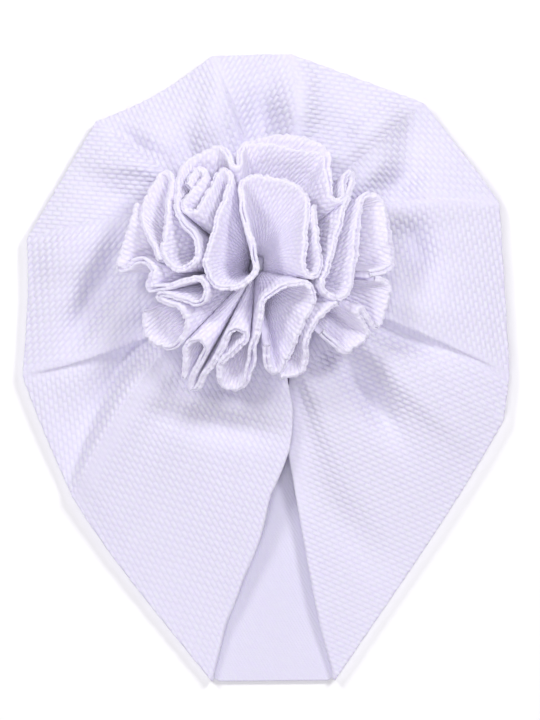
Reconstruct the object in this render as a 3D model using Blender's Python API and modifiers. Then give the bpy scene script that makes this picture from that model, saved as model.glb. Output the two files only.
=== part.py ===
"""A baby's pre-wrapped turban with a frilled flower, lying on its back.

The cap is one soft shell of bullet knit. Its front is pleated towards the flower's eye, it folds
over at the outline, and its back lies flat. The head goes in at the slot between the two front
flaps. The flower is six strips of doubled cloth, sewn on edge to the gathered middle of the cap.

Frame: +Z is up and faces the same way as the front of the turban, +Y points to the crown, +X is on
the right in the front view. The origin is under the middle of the turban, on the surface it lies on.
"""

import math
from collections import namedtuple

import bmesh
import bpy
from mathutils import Vector

MM = 0.001

# The cap. Its crown rises from the fold at the outline to the eye: a PUFF above 1 makes it rounder, a
# FALL above 1 flatter at the outline. Clock angles are degrees about the flower's eye, seen from the
# front: 0 is straight down to the nape, 90 is left, 180 is the crown and 270 is right.
EYE = Vector((-3.7 * MM, 34.9 * MM, 0))
WALL = 1.4 * MM
CROWN_RISE = 16 * MM
FOLD_HALF_RISE = 3.2 * MM
FOLD_INSET = 4 * MM
HEM_HALF_RISE = 2.4 * MM
HEM_INSET = 1.4 * MM
HEM_SPREAD = 22
PUFF = 3.0
PUFF_FALL = 0.9
FLAP_PUFF = 1.2
FLAP_FALL = 1.1
FLAP_SPREAD = 45
GATHER_RADIUS = 28 * MM
SWELL_START = 10 * MM
PLEAT_START = 44 * MM
PLEAT_FADE = 0.8
TUCK_HALF_WIDTH = 0.9 * MM
LOWEST_FRONT = 3.4 * MM
LOWEST_SHARE = 0.9
LOWEST_SOFTNESS = 0.8 * MM
EDGE_FADE = 0.1

# One row for each fold of the front, clockwise from the nape. rim is the clock angle where the fold
# meets the outline, reach its distance there, bow how far the outline bulges before the next row,
# root its clock angle at the flower, tuck the step where one layer lies over the next (below 0 the
# layer before it is on top), width how far that step fades.
Fold = namedtuple("Fold", "name rim reach bow root tuck width")
FOLDS = (
    Fold("left_corner", 6.1, 148.5, 1.6, -17.0, 0.0, 10),
    Fold("left_ridge", 39.0, 104.7, 0.5, 49.0, 0.0, 8),
    Fold("left_tuck", 65.7, 92.0, -0.9, 59.0, 5.5, 9),
    Fold("left_upper", 98.0, 82.9, 0.0, 117.0, 0.0, 10),
    Fold("left_crown", 133.1, 78.5, -2.2, 138.0, 0.0, 6),
    Fold("crown_tuck", 168.4, 78.7, 0.0, 174.0, -3.0, 7),
    Fold("crown_ridge", 189.2, 78.8, 0.0, 199.0, 0.0, 8),
    Fold("right_crown", 225.0, 85.2, 0.3, 222.0, 0.0, 12),
    Fold("right_tuck", 254.4, 90.8, 0.0, 239.0, 3.5, 8),
    Fold("right_side_tuck", 292.3, 98.5, 0.0, 290.0, -4.5, 9),
    Fold("right_lower", 301.1, 103.9, 1.4, 299.0, 0.0, 10),
    Fold("right_corner", 349.1, 150.0, 0.0, 343.0, 0.0, 10),
)
# The crease along the fold named left_ridge. The left flap rises to it, by RISE, and past it the cloth
# drops into the next panel. That drop is WIDTH wide at the eye and narrower by TAPER at the outline.
CREASE_RISE = 2.5 * MM
CREASE_SPREAD = 16 * MM
CREASE_DROP = 7.5 * MM
CREASE_WIDTH = 13 * MM
CREASE_TAPER = 0.75
CREASE_FADE = 14 * MM
# Soft ridges and hollows of the front: middle, the direction they run in as degrees from +X, half
# length, half width, and height (below 0 it is a hollow).
Swell = namedtuple("Swell", "x y angle length width height")
SWELLS = (
    Swell(-60, 28, 62, 20, 6.5, -10.0),
    Swell(-20, -12, -8, 20, 4.0, 2.0),
    Swell(-16, -21, -10, 18, 5.0, -3.0),
    Swell(35, -6, -56, 18, 5.5, -8.0),
    Swell(22, -22, -72, 22, 6.0, 2.0),
    Swell(30, -58, -52, 20, 7.0, -2.0),
    Swell(52, -8, -44, 24, 5.0, 3.0),
    Swell(50, 10.5, -18, 17, 4.5, -3.5),
    Swell(53, 44, -74, 13, 7.0, -9.0),
    Swell(52, 80, 68, 18, 8.0, -5.0),
    Swell(48, 66, 25, 10, 5.0, -4.0),
    Swell(38, 86, 38, 18, 5.0, 2.5),
    Swell(27, 84, -62, 12, 6.0, -3.0),
    Swell(12, 98, 82, 18, 4.5, 2.5),
    Swell(-2, 88, 90, 15, 8.0, -6.5),
    Swell(-28, 80, 80, 9, 5.0, -2.5),
    Swell(-46, 80, -34, 11, 3.5, -4.5),
    Swell(-48, 73, -3, 13, 3.5, 2.5),
    Swell(-51, 60, 20, 14, 8.0, -3.5),
)

# The edges of the slot, as shares of the way from the eye to the hem and clock angles. Up to the
# slot's root the two flaps are one. Past it the left flap laps over the right one, then they part.
SLOT_ROOT = 0.26
SlotRow = namedtuple("SlotRow", "share left right")
SLOT = (
    SlotRow(0.00, -17.0, 343.0),
    SlotRow(0.26, -17.0, 343.0),
    SlotRow(0.29, -16.2, 342.2),
    SlotRow(0.37, -14.8, 349.5),
    SlotRow(0.44, -10.2, 350.0),
    SlotRow(0.55, -3.5, 350.0),
    SlotRow(0.65, -1.0, 350.0),
    SlotRow(0.75, 2.3, 350.0),
    SlotRow(0.86, 4.8, 349.8),
    SlotRow(1.00, 6.1, 349.1),
)
LAP_LIFT = 1.8 * MM
LAP_SPREAD = 16 * MM
LAP_FADE_START = 0.5
LAP_FADE_LENGTH = 0.35

FRONT_SHARES = (0.10, 0.18, 0.26, 0.29, 0.37, 0.44, 0.51, 0.58, 0.66, 0.75, 0.83, 0.90, 0.955, 1.0)
BACK_SHARES = (0.78, 0.52, 0.26)
TURNING_SHARE = 0.3
COLUMN_STEP = 4.0
HEM_COLUMNS = 4

# The flower. A frill's rim, seen from the front, runs like a belt round pegs: straight from turn to
# turn, and round each one. across and up place a peg from the eye, radius is the turn's, and hand is
# 1 where the rim turns left and -1 where it turns right.
FRILL_WALL = 1.2 * MM
FRILL_ROOT_WALL = 0.5
FRILL_ROOT_SCALE = 0.5
FRILL_FLARE = 1.6
FRILL_LEVELS = (0.0, 0.35, 0.7, 1.0)
FRILL_TURN_STEP = math.radians(34)
FRILL_RUN_STEP = 9 * MM
FRILL_FULL_TURN = 1.95 * math.pi
FLOWER_RISE = 23 * MM
FLOWER_REACH = 55 * MM
GAP = 0.55 * MM

Turn = namedtuple("Turn", "across up radius hand")
FRILLS = {
    "frill_inner_upper": (
        Turn(23.2, 23.0, 2.5, 1),
        Turn(20.0, 0.2, 3.0, -1),
        Turn(10.1, 23.0, 8.3, 1),
        Turn(0.0, 27.7, 5.8, 1),
        Turn(-9.0, 2.2, 9.0, -1),
        Turn(-11.2, 33.5, 2.5, 1),
        Turn(-22.7, 23.4, 3.2, -1),
        Turn(-20.2, 34.2, 2.2, 1),
        Turn(-22.5, 29.0, 2.6, 1),
    ),
    "frill_inner_lower": (
        Turn(-21.4, -37.8, 4.2, -1),
        Turn(-21.4, -28.4, 3.8, -1),
        Turn(-22.4, -41.4, 1.6, 1),
        Turn(-6.2, -23.6, 3.0, -1),
        Turn(-8.2, -37.0, 5.6, 1),
        Turn(13.0, -16.9, 11.5, -1),
        Turn(16.2, -9.0, 4.7, -1),
        Turn(6.8, -33.5, 3.2, -1),
        Turn(6.8, -26.6, 3.2, -1),
    ),
    "frill_outer_upper": (
        Turn(39.6, -0.4, 1.1, 1),
        Turn(47.5, 1.8, 1.1, 1),
        Turn(41.4, 23.0, 4.3, 1),
        Turn(28.8, -5.4, 5.0, -1),
        Turn(33.4, 34.0, 2.0, 1),
        Turn(28.9, 26.8, 2.6, -1),
        Turn(21.0, 38.5, 4.5, 1),
        Turn(5.8, 45.0, 3.2, 1),
        Turn(-2.9, 43.9, 2.5, 1),
        Turn(-7.2, 37.8, 1.4, -1),
        Turn(-13.0, 41.8, 2.5, 1),
        Turn(-20.2, 32.8, 7.4, 1),
        Turn(-21.6, 22.7, 6.8, 1),
        Turn(-26.6, 6.8, 6.5, -1),
        Turn(-32.4, 33.1, 2.2, 1),
        Turn(-28.8, 20.2, 11.9, 1),
        Turn(-26.6, 6.8, 8.3, 1),
    ),
    "frill_outer_left": (
        Turn(-41.4, 23.8, 1.1, 1),
        Turn(-47.8, 0.7, 2.1, 1),
        Turn(-40.7, -0.7, 4.3, -1),
        Turn(-37.1, -6.5, 1.1, 1),
        Turn(-21.6, -7.4, 4.4, -1),
        Turn(-34.2, -9.6, 1.3, 1),
        Turn(-32.0, -19.6, 7.9, -1),
        Turn(-37.4, -14.8, 2.2, -1),
    ),
    "frill_outer_right": (
        Turn(8.6, -37.1, 1.1, 1),
        Turn(15.1, -34.9, 2.2, 1),
        Turn(32.8, -26.6, 14.4, -1),
        Turn(34.6, -21.2, 10.8, -1),
    ),
    "frill_skirt": (
        Turn(23.8, -21.2, 1.1, 1),
        Turn(32.4, -28.1, 1.4, 1),
        Turn(38.9, -22.7, 1.4, 1),
        Turn(37.4, -14.8, 1.4, -1),
        Turn(43.2, -18.6, 2.1, 1),
        Turn(46.4, -6.1, 1.8, 1),
        Turn(41.8, -4.0, 1.4, 1),
    ),
}

CLOTH_COLOUR = (0.80, 0.77, 0.93, 1)
CLOTH_ROUGHNESS = 0.9


def clear_scene():
    for old in list(bpy.data.objects):
        bpy.data.objects.remove(old, do_unlink=True)


def cloth_material(name, colour):
    material = bpy.data.materials.new(name)
    material.use_nodes = True
    shader = material.node_tree.nodes["Principled BSDF"]
    shader.inputs["Base Color"].default_value = colour
    shader.inputs["Roughness"].default_value = CLOTH_ROUGHNESS
    shader.inputs["Metallic"].default_value = 0
    return material


def smooth(value):
    """0 below 0, 1 above 1, and an S curve between."""
    value = min(1, max(0, value))
    return value * value * (3 - 2 * value)


def clock_direction(clock):
    angle = math.radians(clock)
    return Vector((-math.sin(angle), -math.cos(angle), 0))


def clock_offset(clock, other):
    """Signed degrees from other to clock, the short way round."""
    return (clock - other + 180) % 360 - 180


def outline_reach(clock):
    """Distance from the eye to the outline: straight from fold to fold, with each row's bow."""
    corners = list(FOLDS) + [FOLDS[0]._replace(rim=FOLDS[0].rim + 360)]
    turned = (clock - FOLDS[0].rim) % 360 + FOLDS[0].rim
    for before, after in zip(corners, corners[1:]):
        if turned <= after.rim:
            break
    first, second = before.reach * MM, after.reach * MM
    to_first = math.radians(turned - before.rim)
    to_second = math.radians(after.rim - turned)
    chord = first * second * math.sin(to_first + to_second)
    chord /= first * math.sin(to_first) + second * math.sin(to_second)
    share = to_first / (to_first + to_second)
    return chord + 4 * share * (1 - share) * before.bow * MM


def slot_edge(share, side):
    """Clock angle of the left or the right flap's edge."""
    for before, after in zip(SLOT, SLOT[1:]):
        if share <= after.share:
            break
    way = (share - before.share) / (after.share - before.share)
    return getattr(before, side) + way * (getattr(after, side) - getattr(before, side))


def fold_clock(fold, share):
    """Clock angle of a fold's line: its root's under the flower, and from there straight to its rim's."""
    if fold is FOLDS[0]:
        return slot_edge(share, "left")
    if fold is FOLDS[-1]:
        return slot_edge(share, "right")
    start = PLEAT_START / (fold.reach * MM)
    way = max(0, (share - start) / (1 - start))
    return fold.root + way * (fold.rim - fold.root)


def hem_nearness(clock):
    """1 at the two corners of the hem, fading to 0 away from them."""
    away = min(abs(clock_offset(clock, FOLDS[0].rim)), abs(clock_offset(clock, FOLDS[-1].rim)))
    return math.exp(-((away / HEM_SPREAD) ** 2))


def fold_half_rise(clock):
    near = hem_nearness(clock)
    return FOLD_HALF_RISE + near * (HEM_HALF_RISE - FOLD_HALF_RISE)


def fold_inset(clock):
    near = hem_nearness(clock)
    return FOLD_INSET + near * (HEM_INSET - FOLD_INSET)


def crease(clock, share):
    """Height of the left flap's crease: a long rise up to its line, and a short drop past it."""
    distance = share * outline_reach(clock)
    grow = smooth((distance - GATHER_RADIUS) / (PLEAT_START - GATHER_RADIUS))
    away = distance * math.radians(clock_offset(clock, fold_clock(FOLDS[1], share)))
    if away < 0:
        return grow * CREASE_RISE * math.exp(away / CREASE_SPREAD)
    width = CREASE_WIDTH * (1 - CREASE_TAPER * share)
    fade = math.exp(-max(0, away - width) / CREASE_FADE)
    return grow * (CREASE_RISE - CREASE_DROP * smooth(away / width)) * fade


def relief(clock, share):
    """Height that the tucks, ridges and hollows add to the front."""
    distance = share * outline_reach(clock)
    height = 0
    for fold in FOLDS[1:-1]:
        start = PLEAT_START / (fold.reach * MM)
        fade = smooth((distance - GATHER_RADIUS) / (PLEAT_START - GATHER_RADIUS))
        fade *= 1 - PLEAT_FADE * max(0, (share - start) / (1 - start))
        away = distance * math.radians(clock_offset(clock, fold_clock(fold, share)))
        step = math.tanh(away / TUCK_HALF_WIDTH) * math.exp(-abs(away / (fold.width * MM)))
        height += fade * fold.tuck * MM / 2 * step
    height += crease(clock, share)
    place = EYE + clock_direction(clock) * distance
    grow = smooth((distance - GATHER_RADIUS) / SWELL_START)
    for swell in SWELLS:
        angle = math.radians(swell.angle)
        run_x, run_y = place.x - swell.x * MM, place.y - swell.y * MM
        along = (run_x * math.cos(angle) + run_y * math.sin(angle)) / (swell.length * MM)
        across = (run_y * math.cos(angle) - run_x * math.sin(angle)) / (swell.width * MM)
        height += grow * swell.height * MM * math.exp(-along * along - across * across)
    return height


def lap(clock, share):
    """Lift of the left flap over the right one, past the slot's root."""
    if share <= SLOT_ROOT:
        return 0
    distance = share * outline_reach(clock)
    left = distance * math.radians(clock - slot_edge(share, "left"))
    right = distance * math.radians(slot_edge(share, "right") - clock)
    fade = 1 - smooth((share - LAP_FADE_START) / LAP_FADE_LENGTH)
    if left < right:
        return LAP_LIFT * fade * math.exp(-left / LAP_SPREAD)
    return -LAP_LIFT * fade * math.exp(-right / LAP_SPREAD)


def dome(clock, share):
    """Height of the front without its folds: full in the middle, and flatter towards the hem."""
    flapness = math.exp(-((clock_offset(clock, -2) / FLAP_SPREAD) ** 2))
    puff = PUFF + flapness * (FLAP_PUFF - PUFF)
    fall = PUFF_FALL + flapness * (FLAP_FALL - PUFF_FALL)
    half_rise = fold_half_rise(clock)
    return half_rise + (CROWN_RISE - half_rise) * max(0, 1 - share**puff) ** fall


def front_point(clock, share):
    height = dome(clock, share)
    height += (relief(clock, share) + lap(clock, share)) * smooth((1 - share) / EDGE_FADE)
    lowest = min(LOWEST_FRONT, LOWEST_SHARE * fold_half_rise(clock))
    above = (height - lowest) / LOWEST_SOFTNESS
    height = lowest + LOWEST_SOFTNESS * math.log1p(math.exp(above))
    place = EYE + clock_direction(clock) * share * outline_reach(clock)
    return Vector((place.x, place.y, height))


def back_point(clock, share):
    place = EYE + clock_direction(clock) * share * outline_reach(clock)
    return Vector((place.x, place.y, 0))


def cap_columns():
    """One row for each column of the front: two folds, the share of the way between, and a shift."""
    columns = [(FOLDS[0], FOLDS[1], 0.0, 0.0)]
    for before, after in zip(FOLDS, FOLDS[1:]):
        count = max(1, round((after.rim - before.rim) / COLUMN_STEP))
        columns += [(before, after, step / count, 0.0) for step in range(1, count)]
        shifts = (-TUCK_HALF_WIDTH, TUCK_HALF_WIDTH) if after.tuck else (0.0,)
        columns += [(before, after, 1.0, shift) for shift in shifts]
    return columns


def column_clock(column, share):
    before, after, way, shift = column
    first, second = fold_clock(before, share), fold_clock(after, share)
    clock = first + way * (second - first)
    return clock + math.degrees(shift / max(PLEAT_START, share * outline_reach(clock)))


def quad(mesh, corners):
    """A face on the corners that differ, so that a welded edge or a pole gives a triangle."""
    found = [corner for index, corner in enumerate(corners) if corner not in corners[:index]]
    if len(found) > 2:
        mesh.faces.new(found)


def cap_surface(mesh):
    """The outer skin of the cap: the front, the fold at the outline, and the flat back."""
    columns = cap_columns()
    rings = [[mesh.verts.new(front_point(0, 0))] * len(columns)]
    for share in FRONT_SHARES:
        ring = [mesh.verts.new(front_point(column_clock(c, share), share)) for c in columns[:-1]]
        last = front_point(column_clock(columns[-1], share), share)
        ring.append(ring[0] if share <= SLOT_ROOT else mesh.verts.new(last))
        rings.append(ring)
    rims = [column_clock(column, 1.0) for column in columns]
    turning = []
    for clock in rims:
        inset = 1 - TURNING_SHARE * fold_inset(clock) / outline_reach(clock)
        under = back_point(clock, inset)
        under.z = TURNING_SHARE * fold_half_rise(clock)
        turning.append(mesh.verts.new(under))
    rings.append(turning)
    for inner, outer in zip(rings, rings[1:]):
        for i in range(len(columns) - 1):
            quad(mesh, (inner[i], inner[i + 1], outer[i + 1], outer[i]))
    hem_from, hem_to = FOLDS[-1].rim, FOLDS[0].rim + 360
    hem = [hem_from + (hem_to - hem_from) * step / HEM_COLUMNS for step in range(1, HEM_COLUMNS)]
    round_all = rims + hem
    shares = [1 - fold_inset(clock) / outline_reach(clock) for clock in rims] + [1.0] * len(hem)
    back = [[mesh.verts.new(back_point(clock, share)) for clock, share in zip(round_all, shares)]]
    for share in BACK_SHARES:
        back.append([mesh.verts.new(back_point(clock, share)) for clock in round_all])
    back.append([mesh.verts.new(back_point(0, 0))] * len(round_all))
    for i in range(len(columns) - 1):
        quad(mesh, (turning[i], turning[i + 1], back[0][i + 1], back[0][i]))
    for outer, inner in zip(back, back[1:]):
        for i in range(len(round_all)):
            j = (i + 1) % len(round_all)
            quad(mesh, (outer[i], outer[j], inner[j], inner[i]))


def object_from(name, mesh, collection, material):
    data = bpy.data.meshes.new(name)
    mesh.to_mesh(data)
    mesh.free()
    made = bpy.data.objects.new(name, data)
    collection.objects.link(made)
    data.materials.append(material)
    data.shade_smooth()
    return made


def make_cap(collection, material):
    mesh = bmesh.new()
    cap_surface(mesh)
    cap = object_from("turban_cap", mesh, collection, material)
    wall = cap.modifiers.new("wall", "SOLIDIFY")
    wall.thickness = WALL
    wall.offset = -1
    wall.use_quality_normals = True
    return cap


def belt_tangent(first, second):
    """Direction of the straight run between two turns, as an angle."""
    run_x = (second.across - first.across) * MM
    run_y = (second.up - first.up) * MM
    offset = (first.hand * first.radius - second.hand * second.radius) * MM
    return math.atan2(run_y, run_x) + math.asin(offset / math.hypot(run_x, run_y))


def on_turn(turn, heading):
    """Where a rim with this heading touches a turn."""
    side = turn.hand * turn.radius * MM
    return Vector(
        (turn.across * MM + side * math.sin(heading), turn.up * MM - side * math.cos(heading))
    )


def rim_path(turns):
    """Points of a frill's rim about the eye: round each turn, and straight in between."""
    headings = [belt_tangent(first, second) for first, second in zip(turns, turns[1:])]
    points = [on_turn(turns[0], headings[0])]
    for number, turn in enumerate(turns[1:], 1):
        arrive = headings[number - 1]
        leave = headings[number] if number < len(headings) else arrive
        sweep = (leave - arrive) * turn.hand % math.tau
        if sweep > FRILL_FULL_TURN:
            sweep = 0
        start = on_turn(turn, arrive)
        run = start - points[-1]
        steps = max(1, round(run.length / FRILL_RUN_STEP))
        points += [points[-1] + run * step / steps for step in range(1, steps + 1)]
        steps = math.ceil(sweep / FRILL_TURN_STEP)
        for step in range(1, steps + 1):
            points.append(on_turn(turn, arrive + turn.hand * sweep * step / steps))
    return points


def frill_point(rim, level):
    """A point of a frill: from its root on the cap, level 0, flaring out to its rim, level 1."""
    root = rim * FRILL_ROOT_SCALE
    clock = math.degrees(math.atan2(-root.x, -root.y))
    root_height = dome(clock, root.length / outline_reach(clock)) + GAP
    edge = rim.length / FLOWER_REACH
    rim_height = CROWN_RISE + FLOWER_RISE * (1 - edge * edge)
    scale = FRILL_ROOT_SCALE + (1 - FRILL_ROOT_SCALE) * level**FRILL_FLARE
    height = root_height + (rim_height - root_height) * level
    return Vector((EYE.x + rim.x * scale, EYE.y + rim.y * scale, height))


def make_frill(name, turns, collection, material):
    """A strip of doubled cloth on edge, thin where it is gathered at its root."""
    mesh = bmesh.new()
    rows = [
        [mesh.verts.new(frill_point(rim, level)) for level in FRILL_LEVELS]
        for rim in rim_path(turns)
    ]
    for row, following in zip(rows, rows[1:]):
        for i in range(len(FRILL_LEVELS) - 1):
            mesh.faces.new((row[i], following[i], following[i + 1], row[i + 1]))
    frill = object_from(name, mesh, collection, material)
    group = frill.vertex_groups.new(name="fullness")
    for number, level in enumerate(FRILL_LEVELS):
        share = FRILL_ROOT_WALL + (1 - FRILL_ROOT_WALL) * level
        group.add(range(number, len(rows) * len(FRILL_LEVELS), len(FRILL_LEVELS)), share, "REPLACE")
    wall = frill.modifiers.new("wall", "SOLIDIFY")
    wall.thickness = FRILL_WALL
    wall.offset = 0
    wall.vertex_group = "fullness"
    return frill


def main():
    clear_scene()
    turban = bpy.data.collections.new("wrapped_turban")
    bpy.context.scene.collection.children.link(turban)
    cloth = cloth_material("bullet_knit", CLOTH_COLOUR)
    make_cap(turban, cloth)
    for name, turns in FRILLS.items():
        make_frill(name, turns, turban, cloth)


main()
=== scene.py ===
import math
from collections import namedtuple

import bpy
import numpy as np
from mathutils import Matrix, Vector


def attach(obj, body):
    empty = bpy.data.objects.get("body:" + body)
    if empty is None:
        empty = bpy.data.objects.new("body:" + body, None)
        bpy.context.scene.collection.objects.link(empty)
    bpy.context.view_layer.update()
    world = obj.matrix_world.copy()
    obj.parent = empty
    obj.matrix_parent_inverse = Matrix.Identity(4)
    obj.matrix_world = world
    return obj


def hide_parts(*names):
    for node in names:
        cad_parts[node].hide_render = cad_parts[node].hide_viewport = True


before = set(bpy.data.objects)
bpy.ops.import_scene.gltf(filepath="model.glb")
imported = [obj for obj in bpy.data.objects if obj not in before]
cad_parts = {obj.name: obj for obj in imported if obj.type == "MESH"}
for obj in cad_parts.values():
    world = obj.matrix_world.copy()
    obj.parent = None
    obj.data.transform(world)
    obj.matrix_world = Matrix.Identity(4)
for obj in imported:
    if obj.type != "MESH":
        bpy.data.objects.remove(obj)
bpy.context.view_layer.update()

MM = 0.001
# Shorter vectors than this have no direction.
SHORTEST = 1e-9

# The cap. Clock angles are degrees about the flower's eye, seen from the front: 0 is straight down to
# the nape, 90 is left, 180 is the crown and 270 is right. Lengths are millimetres, and a share is a
# place on the way from the eye, 0, to the outline, 1.
EYE = (-3.7, 34.9)
CAP_WALL = 1.3
CROWN_RISE = 16.0
FOLD_HALF_RISE = 3.2
FOLD_INSET = 4.0
HEM_HALF_RISE = 2.4
HEM_INSET = 1.4
HEM_SPREAD = 22
# A PUFF above 1 makes the dome rounder, and a FALL above 1 makes it flatter at the outline. The
# flaps' lower ends, about FLAP_CLOCK, have their own.
PUFF = 3.0
PUFF_FALL = 0.9
FLAP_PUFF = 1.2
FLAP_FALL = 1.1
FLAP_CLOCK = -2
FLAP_SPREAD = 45
GATHER_RADIUS = 28.0
GATHER_START = 12.0
SWELL_START = 10.0
PLEAT_START = 44.0
PLEAT_FADE = 0.9
# Near the outline the relief shrinks to EDGE_RELIEF. The front never comes lower than LOWEST.
EDGE_FADE = 0.1
EDGE_RELIEF = 0.35
LOWEST = 3.4
LOWEST_SHARE = 0.9
LOWEST_SOFTNESS = 0.8
EXPONENT_LIMIT = 40

# A fold of the front from the flower to the outline: the clock angle where it meets the outline, its
# reach there, how far the outline bulges before the next fold, and its clock angle at the flower. A
# tuck has a step (above 0 the cloth after it, by clock, lies on top), a width and an overhang.
Fold = namedtuple("Fold", "name rim reach bow root tuck width over", defaults=(0, 0, 0))
FOLDS = (
    Fold("left_corner", 6.1, 148.5, 1.6, -17.0),
    Fold("left_ridge", 39.0, 104.7, 0.5, 49.0),
    Fold("left_tuck", 65.7, 92.0, -0.9, 59.0, 5.5, 9, 1.2),
    Fold("left_upper", 98.0, 82.9, 0.0, 117.0),
    Fold("left_crown", 133.1, 78.5, -2.2, 138.0),
    Fold("crown_tuck", 168.4, 78.7, 0.0, 174.0, -3.0, 7, 0.6),
    Fold("crown_ridge", 189.2, 78.8, 0.0, 199.0),
    Fold("right_crown", 225.0, 85.2, 0.3, 222.0),
    Fold("right_tuck", 254.4, 90.8, 0.0, 239.0, 3.5, 8, 1.2),
    Fold("right_side_tuck", 292.3, 98.5, 0.0, 290.0, -4.5, 9, 1.2),
    Fold("right_lower", 301.1, 103.9, 1.4, 299.0),
    Fold("right_corner", 349.1, 150.0, 0.0, 343.0),
)
FOLD = {fold.name: fold for fold in FOLDS}
# The crease along the fold named left_ridge: the left flap rises to it, and past it the cloth drops
# into the next panel. That drop is WIDTH wide at the eye and narrower by TAPER at the outline.
CREASE_RISE = 2.5
CREASE_SPREAD = 16.0
CREASE_DROP = 9.5
CREASE_WIDTH = 19.0
CREASE_TAPER = 0.68
CREASE_FADE = 14.0
# Soft ridges and hollows of the front: middle, the direction they run in as degrees from +X, half
# length, half width, and height (below 0 it is a hollow).
Swell = namedtuple("Swell", "x y angle length width height")
SWELLS = (
    Swell(-60, 28, 62, 20, 6.5, -10.0),
    Swell(-73, 42, 70, 14, 7.0, 1.5),
    Swell(-20, -12, -8, 20, 4.0, 2.0),
    Swell(-16, -21, -10, 18, 5.0, -3.0),
    Swell(35, -6, -56, 18, 5.5, -8.0),
    Swell(22, -22, -72, 22, 6.0, 2.0),
    Swell(30, -58, -52, 20, 7.0, -2.0),
    Swell(52, -8, -44, 24, 5.0, 3.0),
    Swell(50, 10.5, -18, 17, 4.5, -3.5),
    Swell(53, 44, -74, 13, 7.0, -8.0),
    Swell(52, 80, 68, 18, 8.0, -5.0),
    Swell(48, 66, 25, 10, 5.0, -4.0),
    Swell(38, 86, 38, 18, 5.0, 2.5),
    Swell(27, 84, -62, 12, 6.0, -3.0),
    Swell(12, 98, 82, 18, 4.5, 2.5),
    Swell(-2, 88, 90, 15, 8.0, -8.5),
    Swell(-18, 96, 72, 14, 5.0, 1.5),
    Swell(-28, 80, 80, 9, 5.0, -2.5),
    Swell(-46, 80, -34, 11, 3.5, -4.5),
    Swell(-48, 73, -3, 13, 3.5, 2.5),
    Swell(-51, 60, 20, 14, 8.0, -3.5),
    Swell(-66, 50, 14, 18, 3.0, -1.2),
)
# Gathers that fan out from the flower: how many in a full turn, their phase in degrees, and height.
Gather = namedtuple("Gather", "count phase height")
GATHERS = (
    Gather(13, 40, 0.45),
    Gather(21, 200, 0.4),
    Gather(34, 115, 0.3),
)
GATHER_FADE = 26.0

# The edges of the slot, as shares and clock angles. Up to the slot's root the two flaps are one. Past
# it the left flap laps over the right one, then they part.
SLOT_ROOT = 0.26
SlotRow = namedtuple("SlotRow", "share left right")
SLOT = (
    SlotRow(0.00, -17.0, 343.0),
    SlotRow(0.26, -17.0, 343.0),
    SlotRow(0.29, -16.2, 342.2),
    SlotRow(0.37, -14.8, 349.5),
    SlotRow(0.44, -10.2, 350.0),
    SlotRow(0.55, -3.5, 350.0),
    SlotRow(0.65, -1.0, 350.0),
    SlotRow(0.75, 2.3, 350.0),
    SlotRow(0.86, 4.8, 349.8),
    SlotRow(1.00, 6.1, 349.1),
)
LAP_LIFT = 1.8
LAP_SPREAD = 16.0
LAP_START = 0.03
LAP_FADE_START = 0.5
LAP_FADE_LENGTH = 0.35

# The direction of the knit's bumps in each panel between two folds, in degrees from +X.
GRAINS = (120, 97, 50, 175, 115, 60, -8, 130, 100, -28, -24)
# Bumps are small ovals in rows. Exponents below 1 make them blunt at their ends and sides.
BUMP_LENGTH = 3.4
BUMP_PITCH = 1.65
BUMP_ENDS = 0.7
BUMP_SIDES = 0.8
BUMP_RELIEF = 0.2
FRILL_BUMP_RELIEF = 0.34
OTHER_SIDE_RELIEF = 0.7
# Middle of the bumps' height, about which their colour changes: painted shade below it, in the gaps
# between bumps, and painted light above it, on their tops.
BUMP_MIDDLE = 0.4
# On a slope, which is where the normal tilts by more than SLOPE_START, the bumps stand out more and
# more shade is painted into their gaps: painted shade on slopes.
SLOPE_NAP_AND_SHADE = 1.0
SLOPE_START = 0.03
SLOPE_SPREAD = 0.2
# The flaps' lower ends lie taut: their bumps are lower by CALM.
FLAP_CALM = 0.4
FLAP_CALM_START = 0.6
FLAP_CALM_LENGTH = 0.35
# Where the knit is pulled smooth along a fold: how far to the side of the fold's line, how wide, and
# the share of the bumps' height that is lost.
Stretch = namedtuple("Stretch", "fold aside width loss")
STRETCHES = (
    Stretch("left_ridge", -3.0, 3.5, 0.6),
    Stretch("left_tuck", 0.0, 2.2, 0.7),
    Stretch("crown_tuck", 0.0, 2.2, 0.7),
    Stretch("crown_ridge", 0.0, 4.0, 0.6),
    Stretch("right_tuck", 0.0, 2.2, 0.7),
    Stretch("right_side_tuck", 0.0, 2.2, 0.7),
)
# The same along the right flap's edge, as far as the flaps lap.
RIGHT_EDGE_LOSS = 0.75
RIGHT_EDGE_WIDTH = 7.0
RIGHT_EDGE_FADE = 0.2
LEAST_NAP = 0.15

# The cap's mesh. Its front has fine rings from FINE_START out, and under the flower, inside and
# behind every third column is enough.
FINE_START = 38.6
COLUMN_STEP = 1.0
FEWEST_COLUMNS = 4
TUCK_REACH = 1.7
TUCK_COLUMNS = 16
FRONT_RINGS = 102
TURN_RINGS = 6
STRIDE = 3
HUB_RINGS = 8
BACK_RINGS = 12
HEM_COLUMNS = 18
FLOOR_CLEARANCE = 0.02
# Rings of the back beside the outline, in mm from it: they keep the fold at the hem crisp.
HEM_LINES = (0.5, 1.6, 2.1)
SEAM_ROOM = 0.15
# The back's inside: slight waves, and a rise under the slot's upper end.
WAVE_START = 15.0
WAVE_HEIGHT = 0.25
WAVE_X = 6.0
WAVE_Y = 11.0
WAVE_LEAN = 17.0
WAVE_PHASE = 1.0
APEX = (5.0, -58.0)
APEX_REACH = (20.0, 26.0)
APEX_RISE = 2.2

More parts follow.
